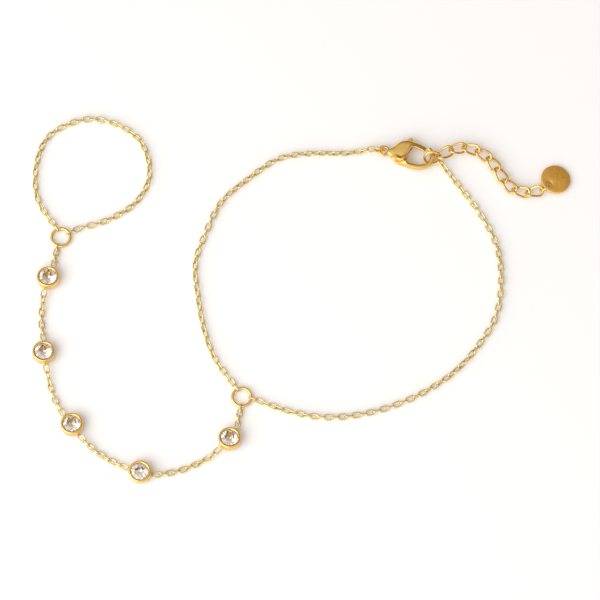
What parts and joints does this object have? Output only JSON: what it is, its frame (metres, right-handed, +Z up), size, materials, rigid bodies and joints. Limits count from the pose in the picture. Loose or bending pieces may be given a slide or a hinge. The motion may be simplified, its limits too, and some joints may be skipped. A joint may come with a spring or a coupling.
{
  "type": "hand chain bracelet",
  "caption": "Gold-plated hand chain: a finger loop and a wrist chain joined by a chain of bezel-set clear stones, with a lobster clasp, an extender and a bare tag.",
  "frame": {"origin": "centre of the bracelet's outline on the surface that it lies on", "axes": "+X along its length from the finger loop to the tag, +Y away from the viewer of the picture, +Z up"},
  "size_m": [0.0922, 0.0646, 0.0028],
  "materials": {
    "pale_gold": "polished pale gold plating on fine wire",
    "polished_gold": "polished gold plating",
    "satin_gold": "satin gold plating",
    "clear_stone": "clear faceted stone"
  },
  "bodies": {
    "bracelet": {"finger_chain": "pale_gold", "finger_ring": "polished_gold", "hand_chain_1": "pale_gold", "hand_chain_2": "pale_gold", "hand_chain_3": "pale_gold", "hand_chain_4": "pale_gold", "hand_chain_5": "pale_gold", "hand_chain_6": "pale_gold", "bezel_1": "polished_gold", "bezel_2": "polished_gold", "bezel_3": "polished_gold", "bezel_4": "polished_gold", "bezel_5": "polished_gold", "stone_1": "clear_stone", "stone_2": "clear_stone", "stone_3": "clear_stone", "stone_4": "clear_stone", "stone_5": "clear_stone", "wrist_ring": "polished_gold", "wrist_chain_left": "pale_gold", "wrist_chain_right": "pale_gold", "clasp_ring": "polished_gold", "clasp_body": "polished_gold", "end_ring": "polished_gold", "extender_chain": "polished_gold", "tag_ring": "polished_gold", "tag": "satin_gold"},
    "lever": {"clasp_lever": "polished_gold"}
  },
  "joints": [
    {"name": "lever_hinge", "type": "hinge", "parent": "bracelet", "child": "lever", "pos_m": [0.01756, 0.02644, 0.00112], "axis": [0, 0, -1], "range_deg": [0, 15], "stiffness_Nm_per_rad": 0.001, "springref_deg": -5.73}
  ]
}
